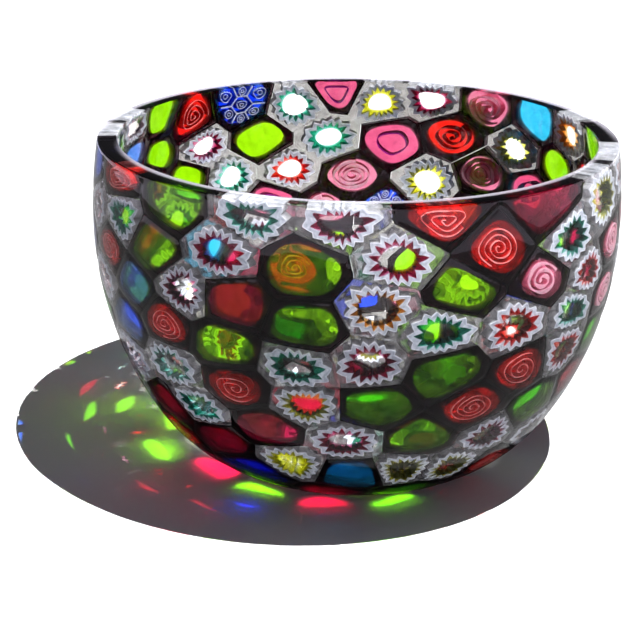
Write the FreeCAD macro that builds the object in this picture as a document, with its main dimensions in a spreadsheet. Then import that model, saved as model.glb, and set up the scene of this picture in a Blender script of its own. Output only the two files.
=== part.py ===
"""A mosaic art-glass bowl built from slices of patterned glass cane.

The wall is a single revolved form: a flat foot, a tight turn under the body, a full belly and a
slightly closed, flat-cut rim.  It is divided, through its whole thickness, into slices of cane.
Each slice sits at a chosen azimuth and height and meets its neighbours on the planes of a Voronoi
diagram.  Inside every slice the layers of its cane are separate solids: a plain or spiral cane has a
core in a dark casing; a star cane has a clear heart, a coloured star, a white zigzag outline and a
clear casing.

Frame: millimetres, +Z up, the origin at the centre of the foot, on the surface it stands on.
Azimuth 0 is the front (-Y) and grows towards +X.
"""
import FreeCAD, Part
import itertools
import math
import os

import Sketcher

from FreeCAD import Vector

DOC = FreeCAD.newDocument("mosaic_bowl")

# ---------------------------------------------------------------- driving dimensions (mm, degrees)
DIMENSIONS = {
    "rim_height": 112.0,
    "belly_height": 84.0,
    "belly_radius": 87.5,
    "shoulder_arc": 163.0,      # arc from the belly up to the rim
    "body_arc": 117.0,          # arc from the belly down
    "body_sweep": 31.8,
    "turn_arc": 53.0,           # tighter arc that turns under to the foot
    "wall_thickness": 6.6,
    "body_arc_inside": 102.0,   # a little tighter, so the wall thickens towards the foot
    "base_thickness": 8.0,
    "dark_casing": 1.9,
    "clear_casing": 1.3,
    "outline_width": 0.8,
    "rim_overrun": 8.5,         # how far a cane's outline may run past its centre at the cut rim
    "cell_spread": 1.3,         # slices were pressed wider than tall by about this much
}

SHEET = DOC.addObject("Spreadsheet::Sheet", "dimensions")
for row, (alias, value) in enumerate(DIMENSIONS.items(), start=1):
    SHEET.set("A%d" % row, alias)
    SHEET.set("B%d" % row, str(value))
    SHEET.setAlias("B%d" % row, alias)
DOC.recompute()


def size(alias):
    return float(SHEET.get(alias))


# ------------------------------------------------------------------------------ kinds of cane
# kind: (how the layers are arranged, number of star points, roundness of the core's outline)
KINDS = {
    "lime": ("plain", 0, 5),
    "ruby": ("plain", 0, 5),
    "cobalt": ("plain", 0, 5),
    "turquoise": ("plain", 0, 5),
    "sky": ("plain", 0, 5),
    "bullseye": ("plain", 0, 5),
    "tortoise": ("plain", 0, 5),
    "red_spiral": ("plain", 0, 4),
    "pink_spiral": ("plain", 0, 4),
    "teal_star": ("star", 14, 4),
    "maroon_star": ("star", 15, 4),
    "yellow_star": ("star", 16, 4),
    "red_star": ("star", 14, 4),
    "amber_star": ("star", 15, 4),
    "pale_star": ("star", 13, 4),
}

LAYERS = {"plain": ["core", "casing"], "star": ["heart", "star", "outline", "casing"]}

# -------------------------------------------------------------- where the slices sit on the wall
# (kind, azimuth in degrees, height in mm), course by course round the front of the bowl
FRONT = [
    ("sky", -77, 106), ("red_spiral", -59, 108), ("lime", -40, 107), ("teal_star", -22, 109.5),
    ("maroon_star", -4, 109.5), ("red_spiral", 15, 109.5), ("ruby", 39, 108), ("yellow_star", 60, 102),
    ("pale_star", 77, 106),
    ("pale_star", -71, 95), ("teal_star", -57, 98), ("lime", -45, 91), ("maroon_star", -28.5, 95),
    ("lime", -11, 93), ("maroon_star", 7, 97), ("red_spiral", 26, 97), ("teal_star", 46, 95),
    ("red_spiral", -63, 85), ("maroon_star", -37, 82), ("ruby", -25.5, 81.5), ("amber_star", 3.5, 82.5),
    ("lime", 19.5, 87), ("pink_spiral", 38.5, 85.5), ("red_star", 53, 82), ("pink_spiral", 65, 87),
    ("cobalt", -80, 83), ("ruby", 79, 92),
    ("pale_star", -68, 72), ("sky", -52, 77), ("lime", -10.5, 76), ("teal_star", 15, 74.5),
    ("red_star", 32.5, 73), ("teal_star", 49, 71.5), ("pink_spiral", 64, 72), ("pale_star", 78, 78),
    ("red_spiral", -43, 69), ("lime", -28, 66), ("teal_star", -12, 62.5), ("maroon_star", 1.5, 65),
    ("sky", -58, 63), ("lime", -76, 60), ("ruby", 78, 64),
    ("lime", 17, 60.5), ("red_star", 48.5, 59.5), ("red_spiral", 36, 57), ("lime", 64, 57),
    ("teal_star", -43, 53), ("red_spiral", -26, 52), ("yellow_star", -11, 49.5), ("lime", 3, 49.5),
    ("red_spiral", 25, 46), ("pale_star", -61, 48), ("ruby", 60, 43), ("teal_star", 77, 49),
    ("red_spiral", -79, 45),
    ("teal_star", -38.5, 40), ("ruby", -20.5, 38), ("maroon_star", -3, 35.5), ("lime", 14.5, 35.5),
    ("maroon_star", 32.5, 31.5), ("lime", 44.5, 39), ("ruby", -51, 34), ("maroon_star", -70, 33),
    ("yellow_star", 66, 29), ("lime", 81, 34),
    ("ruby", -35, 27.5), ("yellow_star", -16.5, 24), ("turquoise", -1, 20.5), ("yellow_star", 12, 23),
    ("yellow_star", 25.5, 21.5), ("pale_star", 51, 26), ("red_spiral", -56, 22),
    ("cobalt", -29, 15.5), ("red_spiral", 41, 16), ("lime", -76, 20), ("teal_star", 79, 20),
]

# round the back, where the slices are seen from the inside of the bowl
BACK = [
    ("lime", 95, 105), ("amber_star", 111, 104), ("turquoise", 125, 105), ("pink_spiral", 142, 106.5),
    ("maroon_star", 158.5, 107.5), ("yellow_star", 173, 105), ("bullseye", 184, 109.5),
    ("teal_star", 195, 102.5), ("tortoise", 211.5, 105.5), ("red_spiral", 228, 102),
    ("lime", 240, 107), ("pale_star", 253, 108), ("teal_star", 268, 106),
    ("red_spiral", 103, 91), ("lime", 117, 90.5), ("yellow_star", 132.5, 92), ("red_spiral", 152.5, 93),
    ("bullseye", 169, 88), ("teal_star", 187, 89.5), ("lime", 205, 90), ("maroon_star", 224, 91),
    ("lime", 240, 92), ("sky", 252, 97), ("ruby", 265, 93),
    ("turquoise", 90, 82), ("maroon_star", 110, 79), ("bullseye", 127, 77.5), ("pink_spiral", 143, 79),
    ("yellow_star", 158.5, 73), ("pink_spiral", 180, 73), ("red_star", 197.5, 77),
    ("teal_star", 214.5, 76), ("lime", 229, 79.5), ("maroon_star", 244, 83), ("lime", 261, 80),
    ("lime", 144, 63), ("cobalt", 171, 60), ("bullseye", 203, 64),
    ("ruby", 97, 68), ("lime", 114, 65), ("red_spiral", 129, 64), ("pink_spiral", 187, 60),
    ("red_spiral", 220, 62), ("teal_star", 236, 66), ("ruby", 252, 69), ("red_star", 268, 68),
]

# lower courses round the back: (height, first azimuth, last azimuth, number of slices)
BACK_COURSES = [(51, 93, 265, 10), (39, 101, 275, 10), (27, 93, 267, 9), (16, 99, 261, 7)]
BACK_KINDS = ["lime", "teal_star", "red_spiral", "ruby", "yellow_star", "lime", "maroon_star",
              "turquoise", "red_star", "lime", "pink_spiral", "cobalt", "pale_star"]

# the lowest course goes all the way round, under the turn of the body
LOWEST_COURSE = (6, -8, 327, 14)
LOWEST_KINDS = ["ruby", "lime", "red_spiral", "yellow_star"]

# rings of slices in the flat foot: (radius, first azimuth, number of slices)
FOOT_RINGS = [(37.5, 5, 10), (20.5, 20, 5), (0, 0, 1)]
FOOT_KINDS = ["lime", "ruby", "teal_star", "cobalt"]

COURSE_WAVE = 2.4       # mm that a lower course rises and falls
REACH = 48.0            # mm within which two slices can be neighbours
CELL_HALF = 26.0        # mm from a slice's centre to the sides of its starting block
BLOCK_OUT, BLOCK_IN = 3.0, 18.0     # mm that the block runs outside and inside the outer face
SAME_POINT = 1e-4
ON_OUTLINE = 0.02
VOLUME_SLACK = 1e-3
ROUND_POINTS = 20       # points that shape a rounded outline
STAR_VALLEY = 0.79      # a star's valleys, as a share of its tips
HEART_SHARE = 0.50      # a star's clear heart, as a share of its tips


# ---------------------------------------------------------------------- the section of the wall
class Section:
    """The bowl's profile in the (radius, height) plane, made of tangent arcs."""

    def __init__(self):
        self.top = size("rim_height")
        self.belly = Vector(size("belly_radius"), size("belly_height"), 0)
        self.thick = size("wall_thickness")
        sweep = math.radians(size("body_sweep"))
        self.outer = self.side(size("body_arc"), size("turn_arc"), self.belly, sweep, 0.0)
        belly_inside = self.belly - Vector(self.thick, 0, 0)
        turn = self.inner_turn_arc(belly_inside, sweep)
        self.inner = self.side(size("body_arc_inside"), turn, belly_inside, sweep, size("base_thickness"))

    def inner_turn_arc(self, belly, sweep):
        """Radius of the inner turn that ends level with the inside of the base."""
        drop = size("body_arc_inside") * math.sin(sweep)
        rest = belly.y - drop - size("base_thickness")
        return rest / (1.0 - math.sin(sweep))

    def side(self, body, turn, belly, sweep, floor):
        """Points of one side: rim, middle, belly, middle, start of turn, middle, end of turn."""
        shoulder = size("shoulder_arc") - (self.belly.x - belly.x)
        shoulder_centre = belly - Vector(shoulder, 0, 0)
        body_centre = belly - Vector(body, 0, 0)
        turn_centre = body_centre + Vector(math.cos(sweep), -math.sin(sweep), 0) * (body - turn)
        rise = math.asin((self.top - belly.y) / shoulder)
        end = math.asin(min(1.0, (turn_centre.y - floor) / turn))

        def on(centre, radius, angle):
            return centre + Vector(math.cos(angle), math.sin(angle), 0) * radius

        return [
            on(shoulder_centre, shoulder, rise),
            on(shoulder_centre, shoulder, rise / 2),
            belly,
            on(body_centre, body, -sweep / 2),
            on(body_centre, body, -sweep),
            on(turn_centre, turn, -(sweep + end) / 2),
            on(turn_centre, turn, -end),
        ]

    def outer_at(self, height):
        """Radius and outward normal (radius, height) of the outside at a height."""
        for i, centre, radius in self.outer_arcs():
            if height >= self.outer[i + 2].y - 1e-9:
                across = math.sqrt(radius ** 2 - (height - centre.y) ** 2)
                return centre.x + across, Vector(across, height - centre.y, 0) / radius
        raise ValueError("height %.1f is below the wall" % height)

    def outer_arcs(self):
        found = []
        for i in (0, 2, 4):
            circle = Part.Arc(*self.outer[i:i + 3]).toShape().Curve
            found.append((i, circle.Center, circle.Radius))
        return found


SECTION = Section()
FOOT_RADIUS = SECTION.outer[-1].x


# ------------------------------------------------------------------------- the undivided wall
# the sketch's lines and arcs in the order that they are drawn, and the names of their points
START, END, CENTRE = 1, 2, 3
ORIGIN = -1
SHOULDER, BODY, TURN, SHOULDER_IN, BODY_IN, TURN_IN, RIM, FOOT, AXIS, FLOOR = range(10)


def draw_section(sketch):
    """The section's arcs and straight lines, joined end to end."""
    for points in (SECTION.outer, SECTION.inner):
        for i in (0, 2, 4):
            sketch.addGeometry(Part.ArcOfCircle(*points[i:i + 3]), False)
    foot, floor = SECTION.outer[-1], SECTION.inner[-1]
    axis_foot, axis_floor = Vector(0, foot.y, 0), Vector(0, floor.y, 0)
    for a, b in ((SECTION.outer[0], SECTION.inner[0]), (foot, axis_foot),
                 (axis_foot, axis_floor), (axis_floor, floor)):
        sketch.addGeometry(Part.LineSegment(a, b), False)
    smooth = [(SHOULDER, BODY), (BODY, TURN), (SHOULDER_IN, BODY_IN), (BODY_IN, TURN_IN), (TURN_IN, FLOOR)]
    ends = [(line, end) for line in range(sketch.GeometryCount) for end in (START, END)]
    for (a, end_a), (b, end_b) in itertools.combinations(ends, 2):
        if a != b and sketch.getPoint(a, end_a).distanceToPoint(sketch.getPoint(b, end_b)) < SAME_POINT:
            kind = "Tangent" if (a, b) in smooth else "Coincident"
            sketch.addConstraint(Sketcher.Constraint(kind, a, end_a, b, end_b))


def end_at(sketch, line, point):
    """Which end of a line of the sketch is at a point."""
    return START if sketch.getPoint(line, START).distanceToPoint(point) < SAME_POINT else END


def bind_section(sketch):
    """Tie the sketch to the sheet's driving dimensions."""
    belly, belly_in = SECTION.outer[2], SECTION.inner[2]
    rules = [
        ("shoulder_radius", "Radius", (SHOULDER,), "dimensions.shoulder_arc"),
        ("body_radius", "Radius", (BODY,), "dimensions.body_arc"),
        ("turn_radius", "Radius", (TURN,), "dimensions.turn_arc"),
        ("body_radius_inside", "Radius", (BODY_IN,), "dimensions.body_arc_inside"),
        ("shoulder_radius_inside", "Radius", (SHOULDER_IN,),
         "dimensions.shoulder_arc - dimensions.wall_thickness"),
        ("body_span", "Angle", (BODY,), "dimensions.body_sweep * 1 deg"),
        ("body_span_inside", "Angle", (BODY_IN,), "dimensions.body_sweep * 1 deg"),
        ("belly_across", "DistanceX", (BODY, end_at(sketch, BODY, belly)), "dimensions.belly_radius"),
        ("belly_up", "DistanceY", (BODY, end_at(sketch, BODY, belly)), "dimensions.belly_height"),
        ("body_centre_up", "DistanceY", (BODY, CENTRE), "dimensions.belly_height"),
        ("belly_across_inside", "DistanceX", (BODY_IN, end_at(sketch, BODY_IN, belly_in)),
         "dimensions.belly_radius - dimensions.wall_thickness"),
        ("belly_up_inside", "DistanceY", (BODY_IN, end_at(sketch, BODY_IN, belly_in)),
         "dimensions.belly_height"),
        ("body_centre_up_inside", "DistanceY", (BODY_IN, CENTRE), "dimensions.belly_height"),
        ("rim_up", "DistanceY", (RIM, START), "dimensions.rim_height"),
        ("floor_up", "DistanceY", (FLOOR, START), "dimensions.base_thickness"),
    ]
    for line in (RIM, FOOT):
        sketch.addConstraint(Sketcher.Constraint("Horizontal", line))
    sketch.addConstraint(Sketcher.Constraint("Vertical", AXIS))
    sketch.addConstraint(Sketcher.Constraint("Coincident", AXIS, START, ORIGIN, START))
    for name, kind, place, formula in rules:
        now = present_value(sketch, kind, place)
        index = sketch.addConstraint(Sketcher.Constraint(kind, *place, now))
        sketch.renameConstraint(index, name)
        sketch.setExpression("Constraints." + name, formula)


def present_value(sketch, kind, place):
    """What a dimension of the sketch measures as it is drawn."""
    if kind == "Radius":
        return sketch.Geometry[place[0]].Radius
    if kind == "Angle":
        arc = sketch.Geometry[place[0]]
        return arc.LastParameter - arc.FirstParameter
    point = sketch.getPoint(*place)
    return point.x if kind == "DistanceX" else point.y


def add_wall():
    """The wall as one form, a sketch turned round the bowl's axis, which the slices then divide."""
    body = DOC.addObject("PartDesign::Body", "wall")
    sketch = body.newObject("Sketcher::SketchObject", "wall_section")
    plane = next(part for part in body.Origin.OriginFeatures if part.Role == "XZ_Plane")
    sketch.AttachmentSupport = (plane, [""])
    sketch.MapMode = "FlatFace"
    draw_section(sketch)
    bind_section(sketch)
    turned = body.newObject("PartDesign::Revolution", "turned_wall")
    turned.Profile = sketch
    turned.ReferenceAxis = (sketch, ["V_Axis"])
    turned.Angle = 360.0
    DOC.recompute()
    return body.Shape.Solids[0]


# ------------------------------------------------------------------------------------- slices
class Slice:
    """One slice of cane: its kind, its place on the outside of the bowl and its local axes."""

    def __init__(self, kind, azimuth, height=None, foot_radius=None):
        self.kind = kind
        turn = math.radians(azimuth)
        outward = Vector(math.sin(turn), -math.cos(turn), 0)
        self.across = Vector(math.cos(turn), math.sin(turn), 0)
        if height is None:
            self.place = outward * foot_radius
            self.normal = Vector(0, 0, -1)
            self.depth = size("base_thickness")
        else:
            radius, slope = SECTION.outer_at(height)
            self.place = outward * radius + Vector(0, 0, height)
            self.normal = outward * slope.x + Vector(0, 0, slope.y)
            self.depth = SECTION.thick
        self.up = self.normal.cross(self.across)
        self.site = self.place - self.normal * (self.depth / 2)
        self.borders = []

    def find_borders(self, others):
        """The planes halfway to each neighbouring slice, as (unit normal, offset).

        Heights count for more than widths, so that the cells come out wider than tall.
        """
        weight = size("cell_spread") ** 2
        for other in others:
            apart = other.site - self.site
            if other is not self and apart.Length < REACH:
                direction = Vector(apart.x, apart.y, apart.z * weight).normalize()
                self.borders.append((direction, direction.dot((self.site + other.site) / 2)))

    def block(self):
        """The slice's Voronoi cell, as a closed polyhedron that runs past both faces of the wall."""
        faces = box_faces(self.place, self.across, self.up, self.normal)
        for direction, offset in self.borders:
            faces = clip(faces, direction, offset)
        flat_faces = [Part.Face(Part.makePolygon(face + face[:1])) for face in faces]
        solid = Part.Solid(Part.Shell(flat_faces))
        return solid if solid.Volume > 0 else solid.reversed()

    def reach(self, angle, inset, roundness):
        """How far the core's outline lies from the centre in one direction.

        It follows the cell's sides where they cross the inside of the wall, set back by the casing,
        with corners that are rounder for a lower roundness.
        """
        ray = self.across * math.cos(angle) + self.up * math.sin(angle)
        start = self.place - self.normal * self.depth
        total = 0.0
        for direction, offset in self.borders:
            along = direction.dot(ray)
            tilt = math.hypot(direction.dot(self.across), direction.dot(self.up))
            room = offset - direction.dot(start) - inset * tilt
            if along > 0 and room > 0:
                total += (along / room) ** roundness
        total += (max(0.0, ray.dot(self.up)) / size("rim_overrun")) ** roundness
        return total ** (-1.0 / roundness)

    def outline(self, points, smooth):
        """A closed outline outside the wall, ready to be run straight through the glass."""
        if smooth:
            curve = Part.BSplineCurve()
            curve.interpolate(Points=points, PeriodicFlag=True)
            wire = Part.Wire(curve.toShape())
        else:
            wire = Part.makePolygon(points + points[:1])
        wire.translate(self.normal * BLOCK_OUT)
        return wire

    def point(self, angle, distance):
        return self.place + (self.across * math.cos(angle) + self.up * math.sin(angle)) * distance

    def rounded_outline(self, inset, roundness, share=1.0):
        angles = [2 * math.pi * i / ROUND_POINTS for i in range(ROUND_POINTS)]
        points = [self.point(a, share * self.reach(a, inset, roundness)) for a in angles]
        return self.outline(points, smooth=True)

    def zigzag_outline(self, inset, roundness, tips, drawn_in=0.0):
        points = []
        for i in range(2 * tips):
            angle = math.pi * i / tips
            share = 1.0 if i % 2 == 0 else STAR_VALLEY
            points.append(self.point(angle, share * self.reach(angle, inset, roundness) - drawn_in))
        return self.outline(points, smooth=False)

    def outlines(self):
        """The outlines between the slice's layers, from the middle outwards."""
        arrangement, tips, roundness = KINDS[self.kind]
        if arrangement == "plain":
            return [self.rounded_outline(size("dark_casing"), roundness)]
        inset = size("clear_casing")
        return [
            self.rounded_outline(inset, roundness, HEART_SHARE),
            self.zigzag_outline(inset, roundness, tips, size("outline_width")),
            self.zigzag_outline(inset, roundness, tips),
        ]

    def layers(self, wall):
        """The slice's solids as (layer, solid); a layer that the rim cuts can be in several pieces."""
        names = LAYERS[KINDS[self.kind][0]]
        through = self.normal * -(BLOCK_OUT + BLOCK_IN)
        outlines = self.outlines()
        prisms = [Part.Face(wire).extrude(through) for wire in outlines]
        cell = wall.common(self.block())
        found = []
        for solid in cell.generalFuse([wire.extrude(through) for wire in outlines])[0].Solids:
            rim = max((v.Point for v in solid.Vertexes), key=self.off_axis)
            inside = [prism.isInside(rim, ON_OUTLINE, True) for prism in prisms] + [True]
            found.append((names[inside.index(True)], solid))
        return found

    def off_axis(self, point):
        return (point - self.place).cross(self.normal).Length


def box_faces(place, across, up, normal):
    """The starting block round a slice, as six faces."""
    def corner(i, j, k):
        depth = BLOCK_OUT if k else -BLOCK_IN
        return place + across * (CELL_HALF * i) + up * (CELL_HALF * j) + normal * depth

    ring = [(-1, -1), (1, -1), (1, 1), (-1, 1)]
    low = [corner(i, j, 0) for i, j in ring]
    high = [corner(i, j, 1) for i, j in ring]
    sides = [[low[k - 1], low[k], high[k], high[k - 1]] for k in range(4)]
    return sides + [low[::-1], high]


def clip(faces, direction, offset):
    """Cut a convex block by a plane and keep the side that the direction points away from."""
    kept, cut = [], []
    for face in faces:
        inside = []
        for a, b in zip(face, face[1:] + face[:1]):
            over_a, over_b = direction.dot(a) - offset, direction.dot(b) - offset
            if over_a <= 0:
                inside.append(a)
            if over_a * over_b < 0:
                crossing = a + (b - a) * (over_a / (over_a - over_b))
                inside.append(crossing)
                cut.append(crossing)
        if len(inside) > 2:
            kept.append(inside)
    ring = []
    for p in cut:
        if all((p - q).Length > SAME_POINT for q in ring):
            ring.append(p)
    if len(ring) > 2:
        middle = sum(ring, Vector()) * (1.0 / len(ring))
        first = (ring[0] - middle).normalize()
        second = direction.cross(first)
        ring.sort(key=lambda p: math.atan2((p - middle).dot(second), (p - middle).dot(first)))
        kept.append(ring)
    return kept


def lay_out():
    """Every slice of the bowl, from the rim down to the middle of the foot."""
    slices = [Slice(kind, azimuth, height) for kind, azimuth, height in FRONT + BACK]
    kinds = itertools.cycle(BACK_KINDS)
    for height, first, last, count in BACK_COURSES:
        step = (last - first) / (count - 1)
        for i in range(count):
            wave = COURSE_WAVE * math.sin(2.1 * i + height)
            slices.append(Slice(next(kinds), first + step * i, height + wave))
    height, first, last, count = LOWEST_COURSE
    kinds = itertools.cycle(LOWEST_KINDS)
    for i in range(count):
        slices.append(Slice(next(kinds), first + (last - first) * i / (count - 1), height))
    kinds = itertools.cycle(FOOT_KINDS)
    for radius, first, count in FOOT_RINGS:
        for i in range(count):
            slices.append(Slice(next(kinds), first + 360.0 * i / count, foot_radius=radius))
    for one in slices:
        one.find_borders(slices)
    return slices


def build_nodes(wall):
    """The solids of every slice, gathered by kind and layer."""
    nodes = {}
    for one in lay_out():
        for layer, solid in one.layers(wall):
            nodes.setdefault("%s_%s" % (one.kind, layer), []).append(solid)
    return nodes


def add_nodes(nodes):
    """One document object for each kind and layer, holding its solids side by side."""
    pieces = []
    for name, solids in sorted(nodes.items()):
        piece = DOC.addObject("Part::Feature", name)
        piece.Label = name
        piece.Shape = Part.makeCompound(solids)
        piece.Placement = FreeCAD.Placement()
        pieces.append(piece)
    DOC.recompute()
    return pieces


def check_document(pieces, wall):
    """Stop on a failed object, a bad solid or glass that is missing or counted twice."""
    for one in DOC.Objects:
        if "Invalid" in one.State or "Error" in one.State:
            raise RuntimeError("%s did not build" % one.Label)
    for piece in pieces:
        if piece.Shape.isNull() or not piece.Shape.isValid():
            raise RuntimeError("%s has a bad shape" % piece.Label)
    total = sum(piece.Shape.Volume for piece in pieces)
    if abs(total - wall.Volume) > VOLUME_SLACK * wall.Volume:
        raise RuntimeError("the slices hold %.0f mm3 of %.0f" % (total, wall.Volume))


def export_nodes(pieces):
    os.makedirs("parts", exist_ok=True)
    for piece in pieces:
        piece.Shape.exportStep("parts/%s.step" % piece.Label)


def main():
    wall = add_wall()
    pieces = add_nodes(build_nodes(wall))
    check_document(pieces, wall)
    export_nodes(pieces)
    print("foot radius %.1f mm, rim radius %.1f mm" % (FOOT_RADIUS, SECTION.outer[0].x))


main()
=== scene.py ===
"""The look of the mosaic glass bowl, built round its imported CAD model.

The bowl is one clear, polished wall of glass.  Inside the wall every slice of cane has its own
bodies: a coloured core or star, a dark or clear casing, and white enamel lines that run through the
glass.  Their places and outlines are read from the CAD casings.  Lengths here are in millimetres and
become metres when a mesh is made.
"""
import math
import random

import bpy
import numpy as np
from mathutils import Matrix, Vector, noise


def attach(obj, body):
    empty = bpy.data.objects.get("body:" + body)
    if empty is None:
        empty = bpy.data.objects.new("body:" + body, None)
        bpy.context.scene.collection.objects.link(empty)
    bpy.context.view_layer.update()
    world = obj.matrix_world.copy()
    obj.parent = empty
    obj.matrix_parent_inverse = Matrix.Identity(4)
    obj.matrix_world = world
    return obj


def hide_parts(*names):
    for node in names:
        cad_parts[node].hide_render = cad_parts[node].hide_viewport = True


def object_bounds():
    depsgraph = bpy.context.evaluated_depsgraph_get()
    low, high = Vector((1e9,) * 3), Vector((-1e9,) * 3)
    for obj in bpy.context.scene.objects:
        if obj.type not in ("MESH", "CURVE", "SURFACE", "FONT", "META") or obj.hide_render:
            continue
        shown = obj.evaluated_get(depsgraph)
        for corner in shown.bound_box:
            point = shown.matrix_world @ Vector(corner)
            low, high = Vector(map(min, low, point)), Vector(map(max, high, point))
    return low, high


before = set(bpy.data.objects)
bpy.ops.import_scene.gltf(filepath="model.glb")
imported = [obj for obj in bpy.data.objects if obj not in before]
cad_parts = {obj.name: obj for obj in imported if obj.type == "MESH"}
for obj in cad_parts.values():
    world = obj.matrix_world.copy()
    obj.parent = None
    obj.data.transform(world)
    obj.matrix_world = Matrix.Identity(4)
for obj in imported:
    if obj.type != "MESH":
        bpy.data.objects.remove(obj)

cad_lo, cad_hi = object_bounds()

MM = 0.001
rng = random.Random(20)

# ------------------------------------------------------------------ the section of the wall (mm)
TOP = cad_hi[2] / MM
BELLY = (cad_hi[0] / MM, 84.0)
WALL = 6.6
BASE = 8.0
SHOULDER_ARC = 163.0
BODY_ARC = (117.0, 102.0)       # outside, inside
SWEEP = math.radians(31.8)
TURN_ARC = 53.0
SKIN = 0.12             # clear glass over the coloured bodies


class Side:
    """The outside or the inside of the wall, as arcs in the (radius, height) plane."""

    def __init__(self, inside):
        self.inside = inside
        self.belly = BELLY[0] - (WALL if inside else 0.0)
        shoulder = SHOULDER_ARC - (WALL if inside else 0.0)
        body = BODY_ARC[1 if inside else 0]
        self.floor = BASE if inside else 0.0
        rest = BELLY[1] - body * math.sin(SWEEP) - self.floor
        turn = rest / (1.0 - math.sin(SWEEP)) if inside else TURN_ARC
        body_r = self.belly - body
        self.shoulder = (self.belly - shoulder, BELLY[1], shoulder)
        self.body = (body_r, BELLY[1], body)
        turn_r = body_r + math.cos(SWEEP) * (body - turn)
        turn_z = BELLY[1] - math.sin(SWEEP) * (body - turn)
        self.turn = (turn_r, turn_z, turn)
        self.end = math.asin(min(1.0, (self.turn[1] - self.floor) / turn))
        self.rim_angle = math.asin((TOP - BELLY[1]) / shoulder)
        self.foot_radius = self.turn[0] + turn * math.cos(self.end)

    def near(self, radius, height, depth=0.0):
        """The nearest points of this side, set depth into the glass, and the outward normals."""
        sink = depth if self.inside else -np.asarray(depth)
        out_r, out_z = np.array(radius, float), np.array(height, float)
        nr, nz = np.zeros_like(out_r), np.full_like(out_r, -1.0)
        below = math.pi / 2 - 1e-6
        for cx, cz, arc, low, high in (
            (*self.shoulder, 0.0, below), (*self.body, -SWEEP, 0.0), (*self.turn, -self.end, -SWEEP)
        ):
            dx, dz = radius - cx, height - cz
            angle = np.arctan2(dz, dx)
            here = (angle >= low) & (angle <= high)
            reach = np.hypot(dx, dz) + 1e-12
            size = arc + sink
            out_r = np.where(here, cx + dx / reach * size, out_r)
            out_z = np.where(here, cz + dz / reach * size, out_z)
            nr, nz = np.where(here, dx / reach, nr), np.where(here, dz / reach, nz)
            done = here if cz == BELLY[1] and low == 0.0 else done | here
        out_z = np.where(done, out_z, self.floor - sink)
        return out_r, out_z, nr, nz

    def put(self, points, depth=0.0):
        """Move 3-D points (mm) onto this side of the wall, depth into the glass."""
        flat = np.hypot(points[:, 0], points[:, 1])
        r, z, _, _ = self.near(flat, points[:, 2], depth)
        scale = r / np.maximum(flat, 1e-9)
        z = np.clip(z, SKIN, TOP - SKIN)
        return np.column_stack([points[:, 0] * scale, points[:, 1] * scale, z])

    def profile(self, spacing):
        """Points from the rim down to the axis, in the (radius, height) plane."""
        runs = [
            (self.shoulder, self.rim_angle, 0.0), (self.body, 0.0, -SWEEP), (self.turn, -SWEEP, -self.end)
        ]
        points = []
        for (cx, cz, arc), start, stop in runs:
            count = max(2, int(abs(start - stop) * arc / spacing))
            for i in range(count):
                a = start + (stop - start) * i / count
                points.append((cx + arc * math.cos(a), cz + arc * math.sin(a)))
        count = int(self.foot_radius / spacing)
        for i in range(count):
            points.append((self.foot_radius * (1 - i / count), self.floor))
        return points


OUT, IN = Side(False), Side(True)


# --------------------------------------------------------------------- slices, from the CAD casings
CORNER = 0.35           # a corner that stands out less than this is dropped
ON_SIDE = 0.04          # a CAD vertex this near a side of the wall lies on it
EVEN_ANGLES = 40        # directions round a slice, besides those of its corners


def solids(mesh):
    """The vertices of each closed solid of a CAD mesh, whose triangles come one solid after another."""
    points = np.zeros(len(mesh.vertices) * 3)
    mesh.vertices.foreach_get("co", points)
    points = points.reshape(-1, 3)
    corners = np.zeros(len(mesh.polygons) * 3, int)
    mesh.polygons.foreach_get("vertices", corners)
    _, same = np.unique(np.round(points, 6), axis=0, return_inverse=True)
    same = same.reshape(-1)
    used, open_edges = set(), set()
    for triangle in corners.reshape(-1, 3):
        used.update(triangle)
        a, b, c = same[triangle]
        for edge in ((a, b), (b, c), (c, a)):
            open_edges ^= {edge if edge[0] < edge[1] else edge[::-1]}
        if not open_edges:
            yield points[sorted(used)] / MM
            used = set()


def hull(points):
    """The convex hull of 2-D points, anticlockwise."""
    points = sorted(set(map(tuple, np.round(points, 4))))

    def half(row):
        kept = []
        for p in row:
            while len(kept) > 1 and cross2(kept[-2], kept[-1], p) <= 0:
                kept.pop()
            kept.append(p)
        return kept[:-1]

    return np.array(half(points) + half(points[::-1]))


def cross2(a, b, c):
    return (b[0] - a[0]) * (c[1] - a[1]) - (b[1] - a[1]) * (c[0] - a[0])


def simplify(ring, tolerance):
    """Drop the corners that stand less than a tolerance out of the line between their neighbours."""
    ring = list(map(tuple, ring))
    while len(ring) > 4:
        bulge = []
        for i in range(len(ring)):
            a, b, c = ring[i - 1], ring[i], ring[(i + 1) % len(ring)]
            bulge.append(abs(cross2(a, b, c)) / (math.dist(a, c) + 1e-9))
        i = int(np.argmin(bulge))
        if bulge[i] > tolerance:
            break
        ring.pop(i)
    return np.array(ring)


def centroid(ring):
    x, y = ring[:, 0], ring[:, 1]
    nx, ny = np.roll(x, -1), np.roll(y, -1)
    cross = x * ny - nx * y
    area = cross.sum() / 2
    return np.array([((x + nx) * cross).sum(), ((y + ny) * cross).sum()]) / (6 * area)


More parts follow.
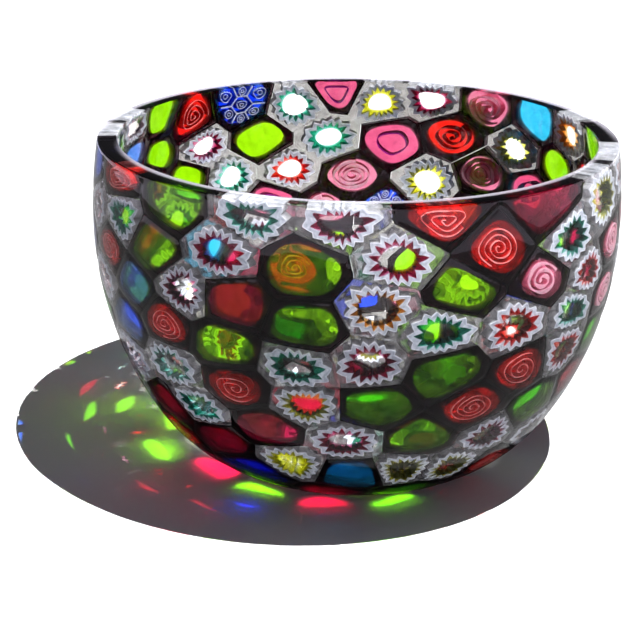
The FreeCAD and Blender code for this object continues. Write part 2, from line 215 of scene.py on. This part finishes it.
class Outline:
    """A slice's cell where it crosses one side of the wall, round a centre on that side."""

    def __init__(self, side, points, frame_at):
        self.side = side
        origin, self.across, self.up = frame_at
        local = (points - origin) @ np.array([self.across, self.up]).T
        ring = hull(local)
        middle = centroid(ring)
        ring = ring - middle
        self.centre = side.put((origin + middle @ np.array([self.across, self.up]))[None])[0]
        corners = simplify(ring, CORNER)
        self.corner_angles = np.arctan2(corners[:, 1], corners[:, 0])
        along = np.roll(corners, -1, 0) - corners
        length = np.hypot(*along.T)
        self.out = np.column_stack([along[:, 1], -along[:, 0]]) / length[:, None]
        self.room = (self.out * corners).sum(1)
        heights = self.centre[2] + corners[:, 1] * self.up[2]
        self.at_rim = (heights > TOP - 0.5) & (np.roll(heights, -1) > TOP - 0.5)

    def reach(self, angle, inset=0.0, roundness=None):
        """Distance from the centre to the outline, set back by inset, in each direction.

        Without a roundness it keeps the cell's corners; a lower roundness is nearer an oval.
        """
        if roundness is None:
            return 1.0 / self.share(angle, inset).max(1)
        every = np.linspace(-math.pi, math.pi, 90, endpoint=False)
        fullest = (self.share(every, inset).max(1) / self.soft(every, inset, roundness)).max()
        return 1.0 / (self.soft(angle, inset, roundness) * fullest)

    def share(self, angle, inset):
        ray = np.column_stack([np.cos(angle), np.sin(angle)])
        room = np.maximum(self.room - np.where(self.at_rim, SKIN, inset), 0.3)
        return np.maximum(ray @ self.out.T, 0.0) / room

    def soft(self, angle, inset, roundness):
        return (self.share(angle, inset) ** roundness).sum(1) ** (1.0 / roundness)

    def spot(self, flat, depth):
        """Points given across and up from the centre, moved onto this side of the wall."""
        return self.side.put(self.centre + flat @ np.array([self.across, self.up]), depth)

    def place(self, angle, distance, depth):
        return self.spot(np.column_stack([distance * np.cos(angle), distance * np.sin(angle)]), depth)


class Slice:
    def __init__(self, kind, points):
        self.kind = kind
        flat = np.hypot(points[:, 0], points[:, 1])
        sides = []
        for side in (OUT, IN):
            r, z, _, _ = side.near(flat, points[:, 2])
            sides.append(points[np.hypot(r - flat, z - points[:, 2]) < ON_SIDE])
        middle = sides[0].mean(0)
        radius = math.hypot(middle[0], middle[1])
        _, _, nr, nz = OUT.near(np.array([radius]), middle[2:3])
        outward = np.array([middle[0], middle[1], 0.0]) / max(radius, 1e-6)
        if radius < 2.0:
            outward = np.array([0.0, -1.0, 0.0])
        normal = outward * nr[0] + np.array([0, 0, nz[0]])
        across = np.cross([0, 0, 1.0], outward)
        up = np.cross(normal, across)
        self.outer = Outline(OUT, sides[0], (middle, across, up))
        self.inner = Outline(IN, sides[1], (sides[1].mean(0), across, up))

    def angles(self, extra):
        """Directions round the slice that meet every corner of its cell, and any extra ones."""
        even = np.linspace(-math.pi, math.pi, EVEN_ANGLES, endpoint=False)
        extra = (np.asarray(extra) + math.pi) % (2 * math.pi) - math.pi
        every = np.concatenate([even, self.outer.corner_angles, self.inner.corner_angles, extra])
        every.sort()
        apart = np.diff(every, append=every[0] + 2 * math.pi)
        return every[apart > 1e-3]


def read_slices():
    slices = []
    for name, node in sorted(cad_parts.items()):
        if name.endswith("_casing"):
            for points in solids(node.data):
                slices.append(Slice(name[:-len("_casing")], points))
    return slices


SLICES = read_slices()

# ------------------------------------------------------------------------------- kinds of cane
# kind: number of star points, and how nearly the outline of its core keeps the corners of the cell
STARS = {
    "teal_star": (14, 3.2), "maroon_star": (15, 3.2), "yellow_star": (16, 3.2),
    "red_star": (14, 3.2), "amber_star": (15, 3.2), "pale_star": (13, 3.2),
}
PLAIN = {
    "lime": 4.5, "ruby": 4.5, "cobalt": 4.0, "turquoise": 4.5, "sky": 4.0,
    "bullseye": 4.5, "tortoise": 4.0, "red_spiral": 3.0, "pink_spiral": 2.8,
}
DARK_CASING = 1.7       # least width of the casing round a plain core
CLEAR_CASING = 0.15     # least width of the casing round a star
GAP = 0.03              # clear glass between one body and the next
VALLEY = 0.80           # a star's valleys, as a share of its tips
HEART = 0.51            # a star's clear heart, as a share of its tips
BAND = 0.20             # white band round a star, as a share of its tips
SPIRAL_ROUND = 0.8      # a spiral is nearer an oval than the core it is in
POINTED = 1.5           # the coloured points go deeper than the edge of the band
LINE = 0.35             # bright edge of that band
TIP_SWAY = 0.12         # how far a tip strays, as a share of the step between tips
VALLEY_PLACE = (0.42, 0.58)         # least and most, between one tip and the next
TIP_LENGTH = (0.93, 1.0)            # least and most shares, drawn for each tip, valley and heart
VALLEY_LENGTH = (0.95, 1.04)
HEART_SIZE = (0.88, 1.12)
MID_ZIGZAG = 0.92       # the coloured points are stretched about this share
CORE_DEPTH = 0.42       # how far under the CAD surface each kind of body ends
CASING_DEPTH = 0.56
LINE_DEPTH = 0.36
JOINT = (0.02, 0.30)    # the black joint's reach from the border of the cell
JOINT_DEPTH = (0.50, 1.10)


# ---------------------------------------------------------------------------------- mesh piles
class Pile:
    """Closed bodies that together make one piece."""

    def __init__(self):
        self.points, self.faces, self.total = [], [], 0
        self.caps = []

    def body(self, rings, looped=False, cap_rows=()):
        """Skin a stack of rings; the ends close with a fan, or meet each other when looped.

        The rows that face the outside or the inside of the bowl are marked as caps.
        """
        rings = np.asarray(rings)
        rows, count, _ = rings.shape
        points = rings.reshape(-1, 3)
        here = np.arange(count)
        after = (here + 1) % count
        quads = []
        bands = rows if looped else rows - 1
        for row in range(bands):
            a, b = row * count, (row + 1) % rows * count
            quads.append(np.column_stack([a + here, a + after, b + after, b + here]))
        quads = np.vstack(quads)
        fans = np.zeros((0, 3), int)
        if not looped:
            last = (rows - 1) * count
            ends = np.array([rings[0].mean(0), rings[-1].mean(0)])
            first_fan = np.column_stack([after, here, np.full(count, len(points))])
            last_fan = np.column_stack([last + here, last + after, np.full(count, len(points) + 1)])
            points = np.vstack([points, ends])
            fans = np.vstack([first_fan, last_fan])
        triangles = np.vstack([quads[:, :3], quads[:, [0, 2, 3]], fans])
        a, b, c = (points[triangles[:, i]] - points[0] for i in range(3))
        if np.einsum("ij,ij->", a, np.cross(b, c)) < 0:
            quads, fans = quads[:, ::-1], fans[:, ::-1]
        self.points.append(points)
        self.caps += [row in cap_rows for row in range(bands) for _ in here] + [True] * len(fans)
        self.faces += (quads + self.total).tolist() + (fans + self.total).tolist()
        self.total += len(points)

    def between(self, one, angle, depth, far, near=None):
        """A body through the wall between two outlines, each a function of the side's outline."""
        rings = []
        for outline, step in ((one.outer, 1), (one.inner, -1)):
            outer_edge = far(outline)
            inner_edge = near(outline) if near else 0.0 * outer_edge
            shares = (0.0, 0.5, 1.0) if near else (0.35, 0.7, 1.0)
            side = [outline.place(angle, inner_edge + (outer_edge - inner_edge) * s, depth) for s in shares]
            rings += side[::step]
        self.body(rings, looped=near is not None, cap_rows=(0, 1, 3, 4))

    def ribbon(self, one, path, thick, roundness, closed=False):
        """A thin wall through the glass that follows a path, given in shares of the core's outline."""
        angle, share = np.arctan2(path[:, 1], path[:, 0]), np.hypot(*path.T)
        edges = []
        for outline in (one.outer, one.inner):
            line = path / np.maximum(share, 1e-6)[:, None]
            line = line * (share * outline.reach(angle, DARK_CASING, roundness))[:, None]
            if closed:
                along = np.roll(line, -1, 0) - np.roll(line, 1, 0)
            else:
                along = np.gradient(line, axis=0)
            along /= np.maximum(np.hypot(*along.T), 1e-6)[:, None]
            off = np.column_stack([-along[:, 1], along[:, 0]]) * np.reshape(thick, (-1, 1)) / 2
            edges.append([outline.spot(line - off, LINE_DEPTH), outline.spot(line + off, LINE_DEPTH)])
        (a, b), (d, c) = edges
        self.body(np.stack([a, b, c, d], axis=1), looped=closed)

    def make(self, name, material):
        mesh = bpy.data.meshes.new(name)
        mesh.from_pydata(np.vstack(self.points) * MM, [], self.faces)
        cap = mesh.attributes.new("cap", "FLOAT", "FACE")
        cap.data.foreach_set("value", np.array(self.caps, np.float32))
        piece = bpy.data.objects.new(name, mesh)
        bpy.context.scene.collection.objects.link(piece)
        mesh.materials.append(material)
        return piece


PILES = {}


def pile(name):
    return PILES.setdefault(name, Pile())


# ------------------------------------------------------------------------- the bodies of a slice
def joint(one, angle):
    """The black line where this slice's casing meets the next, near each side of the wall."""
    for outline in (one.outer, one.inner):
        ring = []
        for inset, depth in ((1, 0), (0, 0), (0, 1), (1, 1)):
            ring.append(outline.place(angle, outline.reach(angle, JOINT[inset]), JOINT_DEPTH[depth]))
        pile("black_joints").body(ring, looped=True)


def plain(one, roundness):
    angle = one.angles([])

    def core(outline):
        return outline.reach(angle, DARK_CASING, roundness)

    def cell(outline):
        return outline.reach(angle, GAP)

    def round_core(outline):
        return core(outline) + GAP

    pile(one.kind + "_cores").between(one, angle, CORE_DEPTH, core)
    pile("dark_casings").between(one, angle, CASING_DEPTH, cell, round_core)
    joint(one, angle)


def star(one, tips, roundness):
    step = 2 * math.pi / tips
    phase = rng.uniform(0, step)
    corners, shares = [], []
    for i in range(tips):
        corners.append(phase + step * (i + rng.uniform(-TIP_SWAY, TIP_SWAY)))
        corners.append(phase + step * (i + rng.uniform(*VALLEY_PLACE)))
        shares.append(rng.uniform(*TIP_LENGTH))
        shares.append(VALLEY * rng.uniform(*VALLEY_LENGTH))
    angle = one.angles(corners)
    zigzag = np.interp(angle, corners, shares, period=2 * math.pi)
    inner_zigzag = MID_ZIGZAG + POINTED * (zigzag - MID_ZIGZAG)
    heart_size = HEART * rng.uniform(*HEART_SIZE)

    def full(outline):
        return outline.reach(angle, CLEAR_CASING, roundness)

    def heart(outline):
        return heart_size * full(outline)

    def colour_edge(outline):
        return (inner_zigzag - BAND) * full(outline)

    def band_start(outline):
        return colour_edge(outline) + GAP

    def line_start(outline):
        return zigzag * full(outline) - LINE

    def line_end(outline):
        return zigzag * full(outline)

    def casing_start(outline):
        return zigzag * full(outline) + GAP

    def cell(outline):
        return outline.reach(angle, -GAP)

    pile(one.kind + "s").between(one, angle, CORE_DEPTH, colour_edge, heart)
    pile("star_bands").between(one, angle, CORE_DEPTH, line_start, band_start)
    pile("star_lines").between(one, angle, LINE_DEPTH, line_end, line_start)
    pile("clear_casings").between(one, angle, CASING_DEPTH, cell, casing_start)


# kind: (piece, least and most turns, width of the line, where it starts and ends in the core)
SPIRALS = {
    "red_spiral": ("white_spirals", (2.6, 3.6), 0.36, 0.06, 0.84),
    "pink_spiral": ("pale_spirals", (2.4, 3.2), 1.2, 0.12, 0.88),
}
RING_RADIUS, RING_WIDTH = 0.55, 0.4     # radii inside a core are shares of it; widths are mm
NET_HEXAGON, NET_REACH, NET_CELLS_AT = 0.47, 2.05, 0.74
NET_RINGS, NET_WALL, NET_LINE = (0.08, 0.2), 0.6, 0.34
NET_ABOVE = 50.0        # cobalt slices higher than this carry the net too


def circle(radius, count, centre=(0.0, 0.0)):
    turn = np.linspace(0, 2 * math.pi, count, endpoint=False)
    return np.column_stack([centre[0] + radius * np.cos(turn), centre[1] + radius * np.sin(turn)])


def spiral(name, one, roundness, turns, thick, first, last):
    """A sheet of enamel rolled up in the core."""
    way = np.linspace(0, 1, int(36 * turns))
    turn = rng.uniform(0, 2 * math.pi) + 2 * math.pi * turns * way * rng.choice((-1, 1))
    share = first + (last - first) * way + 0.012 * np.sin(3 * turn + rng.uniform(0, 6))
    path = np.column_stack([share * np.cos(turn), share * np.sin(turn)])
    pile(name).ribbon(one, path, thick * (0.8 + 0.35 * np.sin(2.3 * turn)), SPIRAL_ROUND * roundness)


def net(one, roundness):
    """White rings round seven cells inside the core, with a white wall between the cells."""
    lines = pile("net_lines")
    hexagon = circle(NET_HEXAGON, 6)
    lines.ribbon(one, hexagon, NET_WALL, roundness, closed=True)
    for corner in hexagon:
        lines.ribbon(one, np.linspace(corner, corner * NET_REACH, 6), NET_WALL, roundness)
    around = circle(NET_CELLS_AT, 6) @ Matrix.Rotation(math.pi / 6, 2)
    for centre in [(0.0, 0.0), *map(tuple, around)]:
        for radius in NET_RINGS:
            lines.ribbon(one, circle(radius, 20, centre), NET_LINE, roundness, closed=True)


for one in SLICES:
    if one.kind in STARS:
        star(one, *STARS[one.kind])
        continue
    roundness = PLAIN[one.kind]
    plain(one, roundness)
    if one.kind in SPIRALS:
        name, turns, *shape = SPIRALS[one.kind]
        spiral(name, one, roundness, rng.uniform(*turns), *shape)
    elif one.kind == "bullseye":
        pile("purple_rings").ribbon(one, circle(RING_RADIUS, 48), RING_WIDTH, roundness, closed=True)
    elif one.kind == "tortoise" or (one.kind == "cobalt" and one.outer.centre[2] > NET_ABOVE):
        net(one, roundness)


# ------------------------------------------------------------------------------- the glass wall
TURNS = 768             # columns of the wall's mesh
OUT_SPACING, IN_SPACING = 0.85, 1.8
BEVEL = 0.3             # at the two edges of the cut rim
GROOVE, GROOVE_WIDTH = 0.20, 0.5
PILLOW, PILLOW_WIDTH = 0.16, 4.0
RIPPLE, RIPPLE_SIZE = 0.07, 9.0
POLISH = 0.02           # least distance inside the CAD surface, except at the rim and foot
CLEAR_GROOVE = 0.4      # depth of a groove between clear casings, as a share of GROOVE
SEARCH = 24.0           # a point's slice is looked for among those whose centre is this near
RIM_FADE, FOOT_FADE = 1.5, 1.0      # the hollows fade out over these heights
LIP = 0.1               # the bevel is rounded by a point this far from each of its sides


def border_distance(points, inside):
    """For points on one side of the wall (mm), the distance to the nearest border between slices."""
    distance = np.zeros(len(points))
    dark = np.zeros(len(points), bool)
    for one in SLICES:
        outline = one.inner if inside else one.outer
        apart = points - outline.centre
        near = np.flatnonzero((apart ** 2).sum(1) < SEARCH ** 2)
        flat = apart[near] @ np.array([outline.across, outline.up]).T
        edges = ~outline.at_rim
        room = (outline.room[edges] - flat @ outline.out[edges].T).min(1)
        better = room > distance[near]
        distance[near[better]] = room[better]
        dark[near[better]] = one.kind in PLAIN
    return distance, dark


def glass_wall(material):
    """The whole wall as one polished, closed surface, a little hollowed along every joint."""
    outer = OUT.profile(OUT_SPACING)
    inner = IN.profile(IN_SPACING)
    (rim_out, _), (rim_in, _) = outer[0], inner[0]
    outer = [(rim_out, TOP - BEVEL)] + [p for p in outer if p[1] < TOP - BEVEL]
    inner = [(rim_in, TOP - BEVEL)] + [p for p in inner if p[1] < TOP - BEVEL]
    lip = [(rim_in + LIP, TOP - LIP), (rim_in + BEVEL, TOP)]
    lip += [(rim_out - BEVEL, TOP), (rim_out - LIP, TOP - LIP)]
    profile = inner[::-1] + lip + outer
    turn = np.linspace(0, 2 * math.pi, TURNS, endpoint=False)
    rings = [np.column_stack([r * np.cos(turn), r * np.sin(turn), np.full(TURNS, z)]) for r, z in profile]
    rings = np.array(rings)
    for rows, inside in ((slice(0, len(inner)), True), (slice(len(inner) + len(lip), None), False)):
        points = rings[rows].reshape(-1, 3)
        distance, dark = border_distance(points, inside)
        groove = GROOVE * np.where(dark, 1.0, CLEAR_GROOVE) * np.exp(-(distance / GROOVE_WIDTH) ** 2)
        slope = np.clip(1.0 - distance / PILLOW_WIDTH, 0.0, 1.0)
        ripple = [RIPPLE * (1.0 + noise.noise(Vector(p) / RIPPLE_SIZE)) / 2 for p in points]
        depth = POLISH + groove + PILLOW * slope ** 2 + np.array(ripple)
        side = IN if inside else OUT
        radius = np.hypot(points[:, 0], points[:, 1])
        _, _, nr, nz = side.near(radius, points[:, 2])
        sink = depth if inside else -depth
        near_axis = np.maximum(radius, 1e-6)
        edge = np.clip((TOP - BEVEL - points[:, 2]) / RIM_FADE, 0.0, 1.0)
        foot = np.ones_like(edge) if inside else np.clip(points[:, 2] / FOOT_FADE, 0.0, 1.0)
        sink = sink * edge * foot
        points = points + np.column_stack([
            points[:, 0] / near_axis * nr * sink, points[:, 1] / near_axis * nr * sink, nz * sink
        ])
        rings[rows] = points.reshape(-1, TURNS, 3)
    wall = Pile()
    wall.body(rings)
    piece = wall.make("glass_wall", material)
    piece.data.shade_smooth()
    return piece


# ------------------------------------------------------------------------------------ materials
PAINTED_PATCH_SCALE, FINE_GRAIN = 110.0, 330.0     # scale of the painted patches of refracted light and shade in the cores, and of the mottle in the clear casings
ENAMEL_GRAIN, CORD_GRAIN = 420.0, 160.0
PAINTED_SHADE_AND_MOTTLE = 0.25      # darkest part of the painted shade patches in a core, and of the mottle in a clear casing, as a share of its body colour
WALL_PATH = 0.0065      # m of glass that a straight look through the wall crosses
GLASS_IOR = 1.42


def new_material(name):
    material = bpy.data.materials.new(name)
    material.use_nodes = True
    tree = material.node_tree
    tree.nodes.clear()
    return material, tree, tree.nodes.new("ShaderNodeOutputMaterial")


def noise_tint(tree, scale, low, high):
    """Faint cords and seeds in the glass, as a tint from low to high; in the milky share of the coloured
    glass the same tint paints patches of refracted light and shade.
    """
    nodes, link = tree.nodes, tree.links.new
    place = nodes.new("ShaderNodeTexCoord")
    pattern = nodes.new("ShaderNodeTexNoise")
    pattern.inputs["Scale"].default_value = scale
    pattern.inputs["Detail"].default_value = 3.0
    pattern.inputs["Distortion"].default_value = 1.2
    ramp = nodes.new("ShaderNodeValToRGB")
    ramp.color_ramp.elements[0].position = 0.35
    ramp.color_ramp.elements[0].color = (*low, 1.0)
    ramp.color_ramp.elements[1].position = 0.62
    ramp.color_ramp.elements[1].color = (*high, 1.0)
    link(place.outputs["Object"], pattern.inputs["Vector"])
    link(pattern.outputs["Fac"], ramp.inputs["Fac"])
    return ramp.outputs["Color"]


def tinted(name, passed, body, milky, patch_and_mottle_scale):
    """Coloured glass: light crosses it straight and is absorbed; a milky share shows its body colour,
    painted with darker and lighter patches that stand in for refracted light and shade.
    """
    material, tree, out = new_material(name)
    loss = [-math.log(share) / WALL_PATH for share in passed]
    clear = tree.nodes.new("ShaderNodeBsdfTransparent")
    cloud = tree.nodes.new("ShaderNodeBsdfDiffuse")
    mix = tree.nodes.new("ShaderNodeMixShader")
    cap = tree.nodes.new("ShaderNodeAttribute")
    cap.attribute_name = "cap"
    share = tree.nodes.new("ShaderNodeMath")
    share.operation = "MULTIPLY"
    share.inputs[1].default_value = milky
    tree.links.new(cap.outputs["Fac"], share.inputs[0])
    tree.links.new(share.outputs[0], mix.inputs["Fac"])
    inside = tree.nodes.new("ShaderNodeVolumeAbsorption")
    inside.inputs["Density"].default_value = max(loss)
    inside.inputs["Color"].default_value = (*[1 - value / max(loss) for value in loss], 1.0)
    tree.links.new(noise_tint(tree, CORD_GRAIN, (0.90, 0.90, 0.90), (1.0, 1.0, 1.0)), clear.inputs["Color"])
    # painted shade and light: the milky share runs from this dark share of the body colour up to the body
    # colour, in patches that stand in for refracted light
    shade = tuple(PAINTED_SHADE_AND_MOTTLE * part for part in body)
    tree.links.new(noise_tint(tree, patch_and_mottle_scale, shade, body), cloud.inputs["Color"])
    tree.links.new(clear.outputs[0], mix.inputs[1])
    tree.links.new(cloud.outputs[0], mix.inputs[2])
    tree.links.new(mix.outputs[0], out.inputs["Surface"])
    tree.links.new(inside.outputs[0], out.inputs["Volume"])
    return material


def enamel(name, light, dark, through=0.3):
    """Opaque white or coloured glass, which glows a little when lit from behind."""
    material, tree, out = new_material(name)
    front = tree.nodes.new("ShaderNodeBsdfDiffuse")
    back = tree.nodes.new("ShaderNodeBsdfTranslucent")
    mix = tree.nodes.new("ShaderNodeMixShader")
    mix.inputs["Fac"].default_value = through
    colour = noise_tint(tree, ENAMEL_GRAIN, dark, light)
    for shader, socket in ((front, mix.inputs[1]), (back, mix.inputs[2])):
        tree.links.new(colour, shader.inputs["Color"])
        tree.links.new(shader.outputs[0], socket)
    tree.links.new(mix.outputs[0], out.inputs["Surface"])
    return material


def clear_glass(name):
    """Polished glass that bends what is seen through it and lets the lamp's light straight through."""
    material, tree, out = new_material(name)
    glass = tree.nodes.new("ShaderNodeBsdfPrincipled")
    glass.inputs["Base Color"].default_value = (1.0, 1.0, 1.0, 1.0)
    glass.inputs["Transmission Weight"].default_value = 1.0
    glass.inputs["IOR"].default_value = GLASS_IOR
    glass.inputs["Roughness"].default_value = 0.0
    lamp = tree.nodes.new("ShaderNodeBsdfTransparent")
    lamp.inputs["Color"].default_value = (0.95, 0.95, 0.95, 1.0)
    path = tree.nodes.new("ShaderNodeLightPath")
    mix = tree.nodes.new("ShaderNodeMixShader")
    tree.links.new(path.outputs["Is Shadow Ray"], mix.inputs["Fac"])
    tree.links.new(glass.outputs[0], mix.inputs[1])
    tree.links.new(lamp.outputs[0], mix.inputs[2])
    tree.links.new(mix.outputs[0], out.inputs["Surface"])
    return material


# piece: (light that the wall passes, body colour, milky share, material slot, CAD nodes it stands for)
GLASSES = {
    "lime_cores": ((0.34, 0.76, 0.004), (0.36, 0.88, 0.01), 0.10, "lime_glass", ["lime_core"]),
    "ruby_cores": ((0.66, 0.02, 0.13), (0.85, 0.03, 0.14), 0.14, "ruby_glass", ["ruby_core"]),
    "cobalt_cores": ((0.03, 0.12, 0.97), (0.02, 0.08, 0.95), 0.14, "cobalt_glass", ["cobalt_core"]),
    "turquoise_cores": ((0.06, 0.62, 0.90), (0.03, 0.50, 0.90), 0.14, "turquoise_glass", ["turquoise_core"]),
    "sky_cores": ((0.15, 0.34, 0.85), (0.20, 0.40, 0.90), 0.16, "sky_glass", ["sky_core"]),
    "bullseye_cores": ((0.78, 0.11, 0.25), (0.90, 0.16, 0.32), 0.14, "pink_glass", ["bullseye_core"]),
    "tortoise_cores": ((0.006, 0.05, 0.85), (0.02, 0.06, 0.90), 0.14, "cobalt_glass", ["tortoise_core"]),
    "red_spiral_cores": ((0.94, 0.025, 0.015), (0.95, 0.02, 0.02), 0.16, "red_glass", ["red_spiral_core"]),
    "pink_spiral_cores": ((0.84, 0.24, 0.38), (0.85, 0.20, 0.32), 0.16, "pink_glass", ["pink_spiral_core"]),
    "teal_stars": ((0.014, 0.32, 0.17), (0.01, 0.34, 0.22), 0.25, "teal_glass", ["teal_star_star"]),
    "maroon_stars": ((0.30, 0.006, 0.04), (0.48, 0.01, 0.07), 0.25, "maroon_glass", ["maroon_star_star"]),
    "yellow_stars": ((0.72, 0.72, 0.02), (0.70, 0.66, 0.02), 0.25, "yellow_glass", ["yellow_star_star"]),
    "red_stars": ((0.75, 0.015, 0.008), (0.90, 0.02, 0.02), 0.32, "red_glass", ["red_star_star"]),
    "amber_stars": ((0.85, 0.20, 0.01), (0.92, 0.32, 0.02), 0.32, "amber_glass", ["amber_star_star"]),
    "pale_stars": ((0.66, 0.50, 0.52), (0.85, 0.58, 0.62), 0.25, "blush_glass", ["pale_star_star"]),
    "dark_casings": ((0.008, 0.003, 0.004), (0.02, 0.008, 0.012), 0.30, "smoke_glass",
                     [kind + "_casing" for kind in PLAIN]),
    "clear_casings": ((0.44, 0.43, 0.41), (0.66, 0.65, 0.67), 0.22, "clear_glass",
                      [kind + "_casing" for kind in STARS]),
}

# piece: (light colour, dark colour, share that shines through, material slot, CAD nodes)
WHITE, GREY_WHITE = (0.86, 0.87, 0.92), (0.62, 0.65, 0.72)
ENAMELS = {
    "star_lines": (WHITE, GREY_WHITE, 0.35, "white_enamel", [kind + "_outline" for kind in STARS]),
    "star_bands": ((0.66, 0.69, 0.76), (0.40, 0.43, 0.50), 0.25, "white_enamel", []),
    "white_spirals": ((0.92, 0.50, 0.50), (0.75, 0.22, 0.22), 0.5, "white_enamel", []),
    "pale_spirals": ((0.97, 0.80, 0.86), (0.92, 0.62, 0.74), 0.7, "white_enamel", []),
    "purple_rings": ((0.35, 0.05, 0.40), (0.25, 0.02, 0.30), 0.4, "pink_glass", []),
    "net_lines": (WHITE, GREY_WHITE, 0.5, "white_enamel", []),
    "black_joints": ((0.006, 0.004, 0.005), (0.002, 0.002, 0.002), 0.0, "smoke_glass", []),
}


def declare(piece, slot, nodes):
    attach(piece, "root")
    if nodes:
        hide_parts(*nodes)


for name, (passed, body, milky, slot, nodes) in GLASSES.items():
    # cores and dark casings get the coarse painted patches of light and shade; clear casings get a finer
    # mottle
    patch_and_mottle_scale = FINE_GRAIN if name == "clear_casings" else PAINTED_PATCH_SCALE
    declare(PILES[name].make(name, tinted(name, passed, body, milky, patch_and_mottle_scale)), slot, nodes)
for name, (light, dark, through, slot, nodes) in ENAMELS.items():
    declare(PILES[name].make(name, enamel(name, light, dark, through)), slot, nodes)
declare(glass_wall(clear_glass("clear_wall")), "clear_glass", [kind + "_heart" for kind in STARS])

# ----------------------------------------------------------------------------- floor and light
FLOOR_RADIUS = 0.75     # m
LAMP = Vector((0.377, -0.290, 1.450))   # m, set by hand
LAMP_RADIUS = 0.002
FLOOR_LIGHT = 1.5       # brightness of the lit floor, chosen
LAMP_SCALE = 40.0       # about 4 pi squared: from that brightness to the strength of a 1 W lamp
HORIZON_LIGHT = 1.5
SKY_LIGHT = 0.075
AIR = (0.91, 0.87, 1.0)    # tint of the light that comes from all round
GLOW_TOP = math.sin(math.radians(10.0))     # the bright band reaches this far above the horizon
GLOW_EDGE = 0.06        # half the width over which it fades
FLOOR_WHITE = 0.85
MIRRORED = 0.3          # share of the floor seen in reflections, as through a polarising filter


def floor():
    mesh = bpy.data.meshes.new("floor")
    rim = [Vector((FLOOR_RADIUS * math.cos(a), FLOOR_RADIUS * math.sin(a), 0.0))
           for a in np.linspace(0, 2 * math.pi, 128, endpoint=False)]
    mesh.from_pydata(rim, [], [list(range(len(rim)))])
    piece = bpy.data.objects.new("floor", mesh)
    bpy.context.scene.collection.objects.link(piece)
    material, tree, out = new_material("paper")
    paper = tree.nodes.new("ShaderNodeBsdfDiffuse")
    path = tree.nodes.new("ShaderNodeLightPath")
    tone = tree.nodes.new("ShaderNodeMapRange")
    tone.inputs["To Min"].default_value = FLOOR_WHITE
    tone.inputs["To Max"].default_value = FLOOR_WHITE * MIRRORED
    mirrored = tree.nodes.new("ShaderNodeMath")
    mirrored.operation = "SUBTRACT"
    mirrored.use_clamp = True
    tree.links.new(path.outputs["Is Glossy Ray"], mirrored.inputs[0])
    tree.links.new(path.outputs["Is Transmission Ray"], mirrored.inputs[1])
    tree.links.new(mirrored.outputs[0], tone.inputs["Value"])
    tree.links.new(tone.outputs[0], paper.inputs["Color"])
    tree.links.new(paper.outputs[0], out.inputs["Surface"])
    mesh.materials.append(material)


def lamp():
    light = bpy.data.lights.new("lamp", "POINT")
    light.shadow_soft_size = LAMP_RADIUS
    light.energy = 1.0
    light.use_nodes = True
    tree = light.node_tree
    glow = next(node for node in tree.nodes if node.type == "EMISSION")
    even = tree.nodes.new("ShaderNodeLightFalloff")
    even.inputs["Strength"].default_value = FLOOR_LIGHT / FLOOR_WHITE * LAMP_SCALE
    tree.links.new(even.outputs["Constant"], glow.inputs["Strength"])
    piece = bpy.data.objects.new("lamp", light)
    piece.location = LAMP
    bpy.context.scene.collection.objects.link(piece)


def surroundings():
    """A bright ring round the horizon and below it, under a dark ceiling; the backdrop itself is white."""
    world = bpy.data.worlds.new("studio")
    bpy.context.scene.world = world
    world.use_nodes = True
    tree = world.node_tree
    tree.nodes.clear()
    place = tree.nodes.new("ShaderNodeTexCoord")
    split = tree.nodes.new("ShaderNodeSeparateXYZ")
    ramp = tree.nodes.new("ShaderNodeMapRange")
    ramp.interpolation_type = "SMOOTHSTEP"
    for socket, value in (("From Min", GLOW_TOP - GLOW_EDGE), ("From Max", GLOW_TOP + GLOW_EDGE),
                          ("To Min", HORIZON_LIGHT), ("To Max", SKY_LIGHT)):
        ramp.inputs[socket].default_value = value
    glow = tree.nodes.new("ShaderNodeBackground")
    glow.inputs["Color"].default_value = (*AIR, 1.0)
    out = tree.nodes.new("ShaderNodeOutputWorld")
    tree.links.new(place.outputs["Generated"], split.inputs[0])
    tree.links.new(split.outputs["Z"], ramp.inputs["Value"])
    path = tree.nodes.new("ShaderNodeLightPath")
    backdrop = tree.nodes.new("ShaderNodeMath")
    backdrop.operation = "MULTIPLY_ADD"
    backdrop.inputs[1].default_value = HORIZON_LIGHT
    tree.links.new(path.outputs["Is Camera Ray"], backdrop.inputs[0])
    tree.links.new(ramp.outputs[0], backdrop.inputs[2])
    tree.links.new(backdrop.outputs[0], glow.inputs["Strength"])
    tree.links.new(glow.outputs[0], out.inputs["Surface"])


# -------------------------------------------------------------------------------------- camera
EYE = Vector((-11.66, -465.1, 228.7)) * MM
AIM = Vector((-11.66, 0.0, 45.2)) * MM
ROLL = math.radians(0.61)
LENS = 81.1


def camera():
    data = bpy.data.cameras.new("camera")
    data.lens = LENS
    data.sensor_width = 36.0
    piece = bpy.data.objects.new("camera", data)
    look = (AIM - EYE).to_track_quat("-Z", "Y").to_matrix().to_4x4()
    piece.matrix_world = Matrix.Translation(EYE) @ look @ Matrix.Rotation(ROLL, 4, "Z")
    bpy.context.scene.collection.objects.link(piece)
    bpy.context.scene.camera = piece


floor()
lamp()
surroundings()
camera()

scene = bpy.context.scene
scene.view_settings.view_transform = "Standard"
scene.view_settings.look = "Medium High Contrast"
scene.cycles.max_bounces = 24
scene.cycles.transmission_bounces = 24
scene.cycles.glossy_bounces = 8
scene.cycles.diffuse_bounces = 4
scene.cycles.transparent_max_bounces = 96
